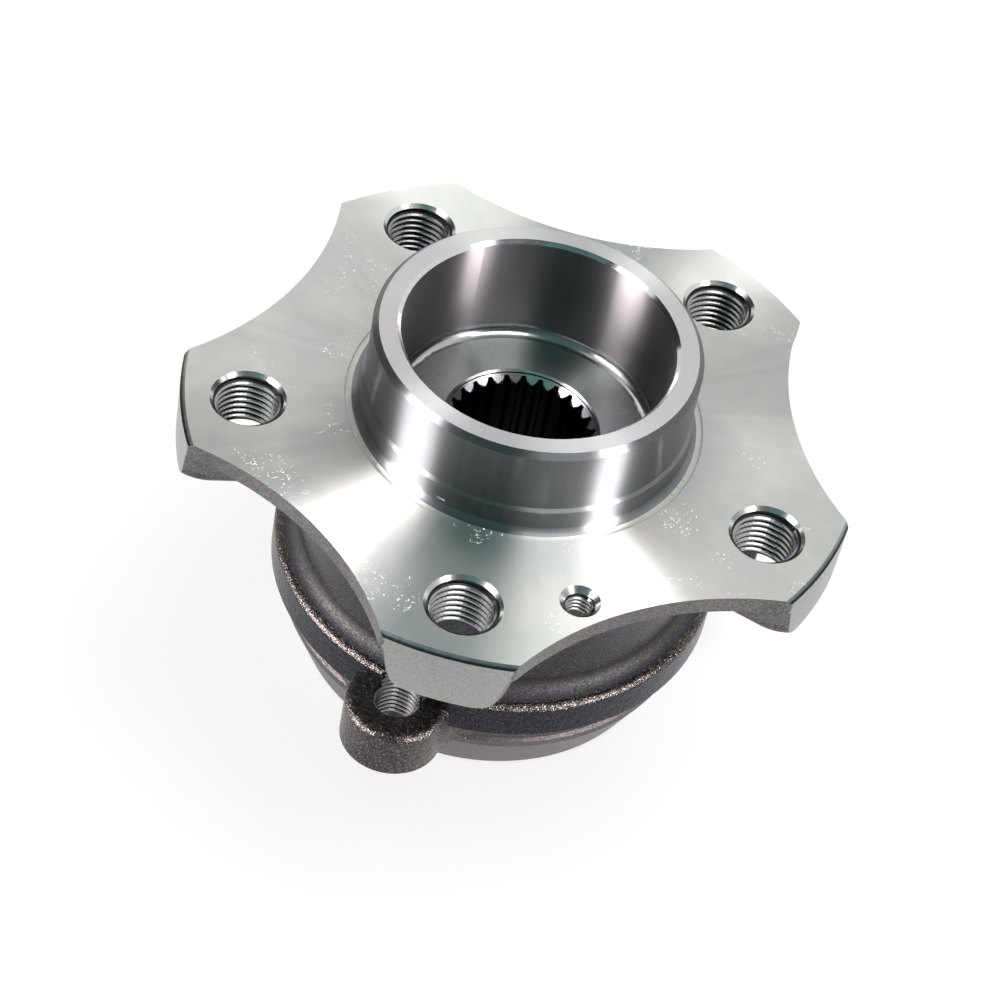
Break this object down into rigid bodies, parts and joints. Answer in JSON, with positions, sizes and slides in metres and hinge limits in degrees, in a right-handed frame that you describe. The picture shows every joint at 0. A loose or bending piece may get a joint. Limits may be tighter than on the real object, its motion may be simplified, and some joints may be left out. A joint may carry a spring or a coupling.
{
  "type": "wheel hub bearing",
  "caption": "Driven wheel hub unit: lobed wheel flange with pilot and splined bore, turning on two ball rows in an outer ring with bolt ears.",
  "frame": {"origin": "on the hub's axis, in the plane of the ears' knuckle faces", "axes": "+Z along the hub's axis towards the wheel; +X through the axis of one wheel bolt hole"},
  "size_m": [0.1322, 0.1378, 0.0863],
  "materials": {
    "hub_steel": "machined satin",
    "bearing_steel": "ground",
    "forged_steel": "as forged",
    "ball_steel": "polished",
    "cage_polymer": "moulded",
    "seal_steel": "pressed sheet",
    "seal_rubber": "matte",
    "encoder_rubber": "smooth matte"
  },
  "bodies": {
    "outer_ring": {"outer_ring": "forged_steel", "outboard_seal_core": "seal_steel", "outboard_seal_lip": "seal_rubber", "inboard_seal_case": "seal_steel", "inboard_seal_lip": "seal_rubber"},
    "hub": {"hub": "hub_steel", "inner_ring": "bearing_steel", "slinger": "seal_steel", "encoder_ring": "encoder_rubber"},
    "cage_outboard": {"cage_outboard": "cage_polymer"},
    "cage_inboard": {"cage_inboard": "cage_polymer"},
    "ball_outboard_01": {"ball_outboard_01": "ball_steel"},
    "ball_outboard_02": {"ball_outboard_02": "ball_steel"},
    "ball_outboard_03": {"ball_outboard_03": "ball_steel"},
    "ball_outboard_04": {"ball_outboard_04": "ball_steel"},
    "ball_outboard_05": {"ball_outboard_05": "ball_steel"},
    "ball_outboard_06": {"ball_outboard_06": "ball_steel"},
    "ball_outboard_07": {"ball_outboard_07": "ball_steel"},
    "ball_outboard_08": {"ball_outboard_08": "ball_steel"},
    "ball_outboard_09": {"ball_outboard_09": "ball_steel"},
    "ball_outboard_10": {"ball_outboard_10": "ball_steel"},
    "ball_outboard_11": {"ball_outboard_11": "ball_steel"},
    "ball_outboard_12": {"ball_outboard_12": "ball_steel"},
    "ball_outboard_13": {"ball_outboard_13": "ball_steel"},
    "ball_outboard_14": {"ball_outboard_14": "ball_steel"},
    "ball_inboard_01": {"ball_inboard_01": "ball_steel"},
    "ball_inboard_02": {"ball_inboard_02": "ball_steel"},
    "ball_inboard_03": {"ball_inboard_03": "ball_steel"},
    "ball_inboard_04": {"ball_inboard_04": "ball_steel"},
    "ball_inboard_05": {"ball_inboard_05": "ball_steel"},
    "ball_inboard_06": {"ball_inboard_06": "ball_steel"},
    "ball_inboard_07": {"ball_inboard_07": "ball_steel"},
    "ball_inboard_08": {"ball_inboard_08": "ball_steel"},
    "ball_inboard_09": {"ball_inboard_09": "ball_steel"},
    "ball_inboard_10": {"ball_inboard_10": "ball_steel"},
    "ball_inboard_11": {"ball_inboard_11": "ball_steel"},
    "ball_inboard_12": {"ball_inboard_12": "ball_steel"},
    "ball_inboard_13": {"ball_inboard_13": "ball_steel"},
    "ball_inboard_14": {"ball_inboard_14": "ball_steel"}
  },
  "joints": [
    {"name": "hub_spin", "type": "hinge", "parent": "outer_ring", "child": "hub", "pos_m": [0, 0, 0.02], "axis": [0, 0, 1], "continuous": true},
    {"name": "cage_outboard_orbit", "type": "hinge", "parent": "outer_ring", "child": "cage_outboard", "pos_m": [0, 0, 0.0295], "axis": [0, 0, 1], "continuous": true},
    {"name": "cage_inboard_orbit", "type": "hinge", "parent": "outer_ring", "child": "cage_inboard", "pos_m": [0, 0, 0.0028], "axis": [0, 0, 1], "continuous": true},
    {"name": "ball_outboard_01_roll", "type": "hinge", "parent": "cage_outboard", "child": "ball_outboard_01", "pos_m": [0.031, 0, 0.0295], "axis": [0.6157, 0, 0.788], "continuous": true},
    {"name": "ball_outboard_02_roll", "type": "hinge", "parent": "cage_outboard", "child": "ball_outboard_02", "pos_m": [0.02793, 0.01345, 0.0295], "axis": [0.5547, 0.2671, 0.788], "continuous": true},
    {"name": "ball_outboard_03_roll", "type": "hinge", "parent": "cage_outboard", "child": "ball_outboard_03", "pos_m": [0.01933, 0.02424, 0.0295], "axis": [0.3839, 0.4813, 0.788], "continuous": true},
    {"name": "ball_outboard_04_roll", "type": "hinge", "parent": "cage_outboard", "child": "ball_outboard_04", "pos_m": [0.0069, 0.03022, 0.0295], "axis": [0.137, 0.6002, 0.788], "continuous": true},
    {"name": "ball_outboard_05_roll", "type": "hinge", "parent": "cage_outboard", "child": "ball_outboard_05", "pos_m": [-0.0069, 0.03022, 0.0295], "axis": [-0.137, 0.6002, 0.788], "continuous": true},
    {"name": "ball_outboard_06_roll", "type": "hinge", "parent": "cage_outboard", "child": "ball_outboard_06", "pos_m": [-0.01933, 0.02424, 0.0295], "axis": [-0.3839, 0.4813, 0.788], "continuous": true},
    {"name": "ball_outboard_07_roll", "type": "hinge", "parent": "cage_outboard", "child": "ball_outboard_07", "pos_m": [-0.02793, 0.01345, 0.0295], "axis": [-0.5547, 0.2671, 0.788], "continuous": true},
    {"name": "ball_outboard_08_roll", "type": "hinge", "parent": "cage_outboard", "child": "ball_outboard_08", "pos_m": [-0.031, 0, 0.0295], "axis": [-0.6157, 0, 0.788], "continuous": true},
    {"name": "ball_outboard_09_roll", "type": "hinge", "parent": "cage_outboard", "child": "ball_outboard_09", "pos_m": [-0.02793, -0.01345, 0.0295], "axis": [-0.5547, -0.2671, 0.788], "continuous": true},
    {"name": "ball_outboard_10_roll", "type": "hinge", "parent": "cage_outboard", "child": "ball_outboard_10", "pos_m": [-0.01933, -0.02424, 0.0295], "axis": [-0.3839, -0.4813, 0.788], "continuous": true},
    {"name": "ball_outboard_11_roll", "type": "hinge", "parent": "cage_outboard", "child": "ball_outboard_11", "pos_m": [-0.0069, -0.03022, 0.0295], "axis": [-0.137, -0.6002, 0.788], "continuous": true},
    {"name": "ball_outboard_12_roll", "type": "hinge", "parent": "cage_outboard", "child": "ball_outboard_12", "pos_m": [0.0069, -0.03022, 0.0295], "axis": [0.137, -0.6002, 0.788], "continuous": true},
    {"name": "ball_outboard_13_roll", "type": "hinge", "parent": "cage_outboard", "child": "ball_outboard_13", "pos_m": [0.01933, -0.02424, 0.0295], "axis": [0.3839, -0.4813, 0.788], "continuous": true},
    {"name": "ball_outboard_14_roll", "type": "hinge", "parent": "cage_outboard", "child": "ball_outboard_14", "pos_m": [0.02793, -0.01345, 0.0295], "axis": [0.5547, -0.2671, 0.788], "continuous": true},
    {"name": "ball_inboard_01_roll", "type": "hinge", "parent": "cage_inboard", "child": "ball_inboard_01", "pos_m": [0.031, 0, 0.0028], "axis": [-0.6157, 0, 0.788], "continuous": true},
    {"name": "ball_inboard_02_roll", "type": "hinge", "parent": "cage_inboard", "child": "ball_inboard_02", "pos_m": [0.02793, 0.01345, 0.0028], "axis": [-0.5547, -0.2671, 0.788], "continuous": true},
    {"name": "ball_inboard_03_roll", "type": "hinge", "parent": "cage_inboard", "child": "ball_inboard_03", "pos_m": [0.01933, 0.02424, 0.0028], "axis": [-0.3839, -0.4813, 0.788], "continuous": true},
    {"name": "ball_inboard_04_roll", "type": "hinge", "parent": "cage_inboard", "child": "ball_inboard_04", "pos_m": [0.0069, 0.03022, 0.0028], "axis": [-0.137, -0.6002, 0.788], "continuous": true},
    {"name": "ball_inboard_05_roll", "type": "hinge", "parent": "cage_inboard", "child": "ball_inboard_05", "pos_m": [-0.0069, 0.03022, 0.0028], "axis": [0.137, -0.6002, 0.788], "continuous": true},
    {"name": "ball_inboard_06_roll", "type": "hinge", "parent": "cage_inboard", "child": "ball_inboard_06", "pos_m": [-0.01933, 0.02424, 0.0028], "axis": [0.3839, -0.4813, 0.788], "continuous": true},
    {"name": "ball_inboard_07_roll", "type": "hinge", "parent": "cage_inboard", "child": "ball_inboard_07", "pos_m": [-0.02793, 0.01345, 0.0028], "axis": [0.5547, -0.2671, 0.788], "continuous": true},
    {"name": "ball_inboard_08_roll", "type": "hinge", "parent": "cage_inboard", "child": "ball_inboard_08", "pos_m": [-0.031, 0, 0.0028], "axis": [0.6157, 0, 0.788], "continuous": true},
    {"name": "ball_inboard_09_roll", "type": "hinge", "parent": "cage_inboard", "child": "ball_inboard_09", "pos_m": [-0.02793, -0.01345, 0.0028], "axis": [0.5547, 0.2671, 0.788], "continuous": true},
    {"name": "ball_inboard_10_roll", "type": "hinge", "parent": "cage_inboard", "child": "ball_inboard_10", "pos_m": [-0.01933, -0.02424, 0.0028], "axis": [0.3839, 0.4813, 0.788], "continuous": true},
    {"name": "ball_inboard_11_roll", "type": "hinge", "parent": "cage_inboard", "child": "ball_inboard_11", "pos_m": [-0.0069, -0.03022, 0.0028], "axis": [0.137, 0.6002, 0.788], "continuous": true},
    {"name": "ball_inboard_12_roll", "type": "hinge", "parent": "cage_inboard", "child": "ball_inboard_12", "pos_m": [0.0069, -0.03022, 0.0028], "axis": [-0.137, 0.6002, 0.788], "continuous": true},
    {"name": "ball_inboard_13_roll", "type": "hinge", "parent": "cage_inboard", "child": "ball_inboard_13", "pos_m": [0.01933, -0.02424, 0.0028], "axis": [-0.3839, 0.4813, 0.788], "continuous": true},
    {"name": "ball_inboard_14_roll", "type": "hinge", "parent": "cage_inboard", "child": "ball_inboard_14", "pos_m": [0.02793, -0.01345, 0.0028], "axis": [-0.5547, 0.2671, 0.788], "continuous": true}
  ],
  "couplings": [
    {"joint": "cage_outboard_orbit", "follows": "hub_spin", "ratio": 0.42374},
    {"joint": "cage_inboard_orbit", "follows": "hub_spin", "ratio": 0.42374},
    {"joint": "ball_outboard_01_roll", "follows": "hub_spin", "ratio": -2.5232},
    {"joint": "ball_outboard_02_roll", "follows": "hub_spin", "ratio": -2.5232},
    {"joint": "ball_outboard_03_roll", "follows": "hub_spin", "ratio": -2.5232},
    {"joint": "ball_outboard_04_roll", "follows": "hub_spin", "ratio": -2.5232},
    {"joint": "ball_outboard_05_roll", "follows": "hub_spin", "ratio": -2.5232},
    {"joint": "ball_outboard_06_roll", "follows": "hub_spin", "ratio": -2.5232},
    {"joint": "ball_outboard_07_roll", "follows": "hub_spin", "ratio": -2.5232},
    {"joint": "ball_outboard_08_roll", "follows": "hub_spin", "ratio": -2.5232},
    {"joint": "ball_outboard_09_roll", "follows": "hub_spin", "ratio": -2.5232},
    {"joint": "ball_outboard_10_roll", "follows": "hub_spin", "ratio": -2.5232},
    {"joint": "ball_outboard_11_roll", "follows": "hub_spin", "ratio": -2.5232},
    {"joint": "ball_outboard_12_roll", "follows": "hub_spin", "ratio": -2.5232},
    {"joint": "ball_outboard_13_roll", "follows": "hub_spin", "ratio": -2.5232},
    {"joint": "ball_outboard_14_roll", "follows": "hub_spin", "ratio": -2.5232},
    {"joint": "ball_inboard_01_roll", "follows": "hub_spin", "ratio": -2.5232},
    {"joint": "ball_inboard_02_roll", "follows": "hub_spin", "ratio": -2.5232},
    {"joint": "ball_inboard_03_roll", "follows": "hub_spin", "ratio": -2.5232},
    {"joint": "ball_inboard_04_roll", "follows": "hub_spin", "ratio": -2.5232},
    {"joint": "ball_inboard_05_roll", "follows": "hub_spin", "ratio": -2.5232},
    {"joint": "ball_inboard_06_roll", "follows": "hub_spin", "ratio": -2.5232},
    {"joint": "ball_inboard_07_roll", "follows": "hub_spin", "ratio": -2.5232},
    {"joint": "ball_inboard_08_roll", "follows": "hub_spin", "ratio": -2.5232},
    {"joint": "ball_inboard_09_roll", "follows": "hub_spin", "ratio": -2.5232},
    {"joint": "ball_inboard_10_roll", "follows": "hub_spin", "ratio": -2.5232},
    {"joint": "ball_inboard_11_roll", "follows": "hub_spin", "ratio": -2.5232},
    {"joint": "ball_inboard_12_roll", "follows": "hub_spin", "ratio": -2.5232},
    {"joint": "ball_inboard_13_roll", "follows": "hub_spin", "ratio": -2.5232},
    {"joint": "ball_inboard_14_roll", "follows": "hub_spin", "ratio": -2.5232}
  ]
}
